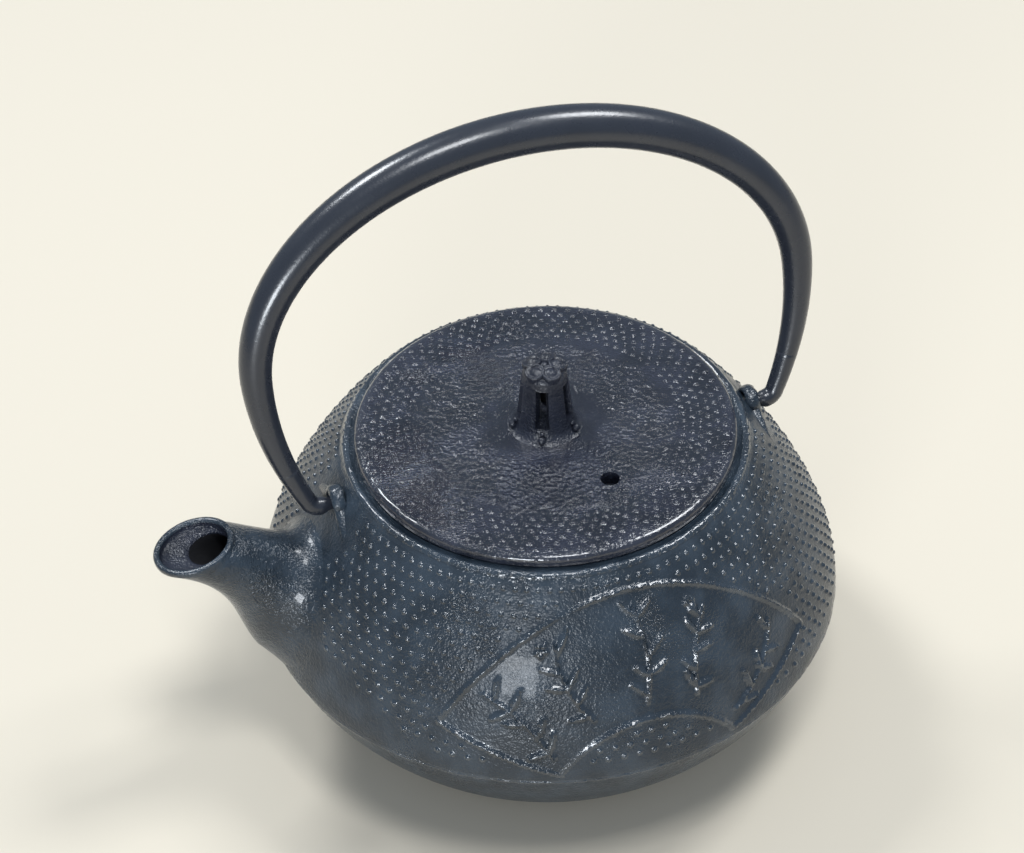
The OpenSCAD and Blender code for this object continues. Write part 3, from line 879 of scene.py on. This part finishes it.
def onPins(x, s, y=0.0):
    lean = math.radians(handle["lean"])
    return Vector((x, s * math.sin(lean) + y * math.cos(lean),
                   handle["pin"] + s * math.cos(lean) - y * math.sin(lean))) * mm


def legX(s):
    # how far out a leg is at this height
    share = (handle["bulgeAt"] - s) / (handle["bulgeAt"] - handle["heelAt"])
    return handle["wide"] - handle["bulge"] * share ** 2


def rodRing(x, s, dx, ds, radius, sides):
    # a ring square to the direction (dx, ds) of the middle line
    long = math.hypot(dx, ds)
    side = onPins(ds / long, -dx / long) - onPins(0, 0)
    depth = onPins(0, 0, 1) - onPins(0, 0)
    return ringAround(onPins(x, s), side.normalized(), depth.normalized(), radius * mm, radius * mm, sides)


def archSpot(share):
    # legs take the first and last part of the way round, an ellipse the rest
    t = min(share, 1 - share) * 2
    legs = handle["legShare"]
    if t < legs:
        s = mix(handle["socket"], handle["bulgeAt"], t / legs)
        x = legX(s)
    else:
        a = math.pi / 2 * (t - legs) / (1 - legs)
        x = handle["wide"] * math.cos(a)
        s = mix(handle["bulgeAt"], handle["high"], math.sin(a))
    radius = mix(handle["heel"], handle["top"], math.sin(math.pi / 2 * (0.09 + 0.91 * t)))
    return (x if share <= 0.5 else -x), s, radius


def buildHandle():
    bm = bmesh.new()
    rings = []
    for k in range(handle["rings"] + 1):
        share = k / handle["rings"]
        x, s, radius = archSpot(share)
        x1, s1 = archSpot(max(share - 0.002, 0))[:2]
        x2, s2 = archSpot(min(share + 0.002, 1))[:2]
        rings.append(rodRing(x, s, x2 - x1, s2 - s1, radius - handle["play"], handle["sides"]))
    loft(bm, rings, True, True)
    bmesh.ops.recalc_face_normals(bm, faces=bm.faces)
    makeObject("handle_arch", bm, [lacquer], "handle", "handle_tube")


def buildHook(name, side, node):
    # pin, collar, bend, and the leg up to its socket in the arch, as (x, s, dx, ds, radius)
    turn = math.radians(handle["bendTurn"])
    bendX = handle["heelX"] - handle["bend"] * math.sin(turn)
    line = [(50.15, 0, 1, 0, 1.0), (50.3, 0, 1, 0, 1.38), (50.7, 0, 1, 0, 1.48), (bendX - 2.4, 0, 1, 0, 1.49),
            (bendX - 1.6, 0, 1, 0, 1.62), (bendX - 0.8, 0, 1, 0, 1.95)]
    for a in (turn * k / 10 for k in range(11)):
        line.append((bendX + handle["bend"] * math.sin(a), handle["bend"] * (1 - math.cos(a)), math.cos(a),
                     math.sin(a), handle["heel"]))
    heelAt = line[-1][1]
    offset = line[-1][0] - legX(heelAt)
    for k in range(1, 11):
        t = k / 10
        at = mix(heelAt, handle["socket"], t)
        line.append((legX(at) + offset * (1 - t), at, legX(at + 0.1) - legX(at - 0.1) - offset * 0.02, 0.2,
                     mix(handle["heel"], archSpot(0)[2] - handle["play"], t)))
    at = handle["socket"] + 2
    line.append((legX(at), at, legX(at + 0.1) - legX(at), 0.1, 1.5))   # the plug inside the tube
    bm = bmesh.new()
    loft(bm, [rodRing(*ring, handle["hookSides"]) for ring in line], True, True)
    if side < 0:
        bmesh.ops.scale(bm, vec=(-1, 1, 1), verts=bm.verts)
    bmesh.ops.recalc_face_normals(bm, faces=bm.faces)
    makeObject(name, bm, [lacquer], "handle", node)


print("pot")
buildPot()
buildSpout()
buildLugs()
hob = hobShape()
buildPotHobs(hob)
print("lid and knob")
buildLid(hob)
bpy.data.meshes.remove(hob)
buildKnob()
print("handle")
buildHandle()
buildHook("hook_by_spout", -1, "spout_side_hook")
buildHook("hook_at_rear", 1, "rear_hook")

print("strainer and rivet")
nodeMaterials = {"knob_rivet": steel, "rivet_washer": steel, "strainer_rim": sheetSteel,
                 "strainer_wall": wallMesh, "strainer_seam": sheetSteel, "strainer_base_ring": sheetSteel,
                 "strainer_screen": floorMesh}
for node, material in nodeMaterials.items():
    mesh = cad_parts[node].data
    mesh.materials.clear()
    mesh.materials.append(material)

# lamps are (name, place, aim, size, power, colour), in metres and watts
studio = {
    "floor": (0.6, 0.545, 0.45, 1), "floorHalf": 4, "world": (0.7, 0.83, 1.0, 1), "worldLevel": 0.42,
    "lamps": (
        ("window_behind", (-0.4, 0.6, 1.0), (0, 0, 0.05), (0.34, 0.26), 8, (0.93, 0.965, 1.0)),
        ("ceiling_right", (0.5, 0.1, 0.98), (0, 0, 0.05), (0.3, 0.3), 6, (0.95, 0.975, 1.0)),
        ("ceiling_front", (0.0, -0.35, 1.25), (0, 0, 0.05), (0.3, 0.3), 6, (0.95, 0.975, 1.0)),
        ("window_front", (-0.7, -1.15, 0.36), (0, 0, 0.04), (0.36, 0.26), 10, (0.9, 0.95, 1.0)),
    ),
}


def buildFloor():
    bm = bmesh.new()
    bmesh.ops.create_grid(bm, x_segments=1, y_segments=1, size=studio["floorHalf"])
    mesh = bpy.data.meshes.new("floor")
    bm.to_mesh(mesh)
    bm.free()
    paper = Finish("floor_paper", Roughness=0.75, Specular_IOR_Level=0.2, Base_Color=studio["floor"])
    mesh.materials.append(paper.material)
    floor = bpy.data.objects.new("floor", mesh)
    bpy.context.scene.collection.objects.link(floor)


def lightWorld():
    world = bpy.data.worlds.new("studio")
    world.use_nodes = True
    background = world.node_tree.nodes["Background"]
    background.inputs["Color"].default_value = studio["world"]
    background.inputs["Strength"].default_value = studio["worldLevel"]
    bpy.context.scene.world = world


def softBox(name, place, aim, size, power, colour):
    lamp = bpy.data.lights.new(name, "AREA")
    lamp.shape = "RECTANGLE"
    lamp.size, lamp.size_y = size
    lamp.energy = power
    lamp.color = colour
    holder = bpy.data.objects.new(name, lamp)
    holder.location = place
    holder.rotation_euler = (Vector(aim) - Vector(place)).to_track_quat("-Z", "Y").to_euler()
    bpy.context.scene.collection.objects.link(holder)


# turn is in degrees, and lens and sensor in mm
view = {"place": (-0.1833, -0.5554, 0.5968), "turn": (48.467, 1.272, -18.62), "lens": 116.62, "sensor": 36}


def placeCamera():
    camera = bpy.data.objects.new("camera", bpy.data.cameras.new("camera"))
    camera.data.lens = view["lens"]
    camera.data.sensor_width = view["sensor"]
    camera.data.clip_start = 0.01
    camera.location = view["place"]
    camera.rotation_euler = [math.radians(angle) for angle in view["turn"]]
    bpy.context.scene.collection.objects.link(camera)
    bpy.context.scene.camera = camera


print("studio")
buildFloor()
lightWorld()
for lampValues in studio["lamps"]:
    softBox(*lampValues)
placeCamera()
bpy.context.scene.view_settings.view_transform = "Standard"
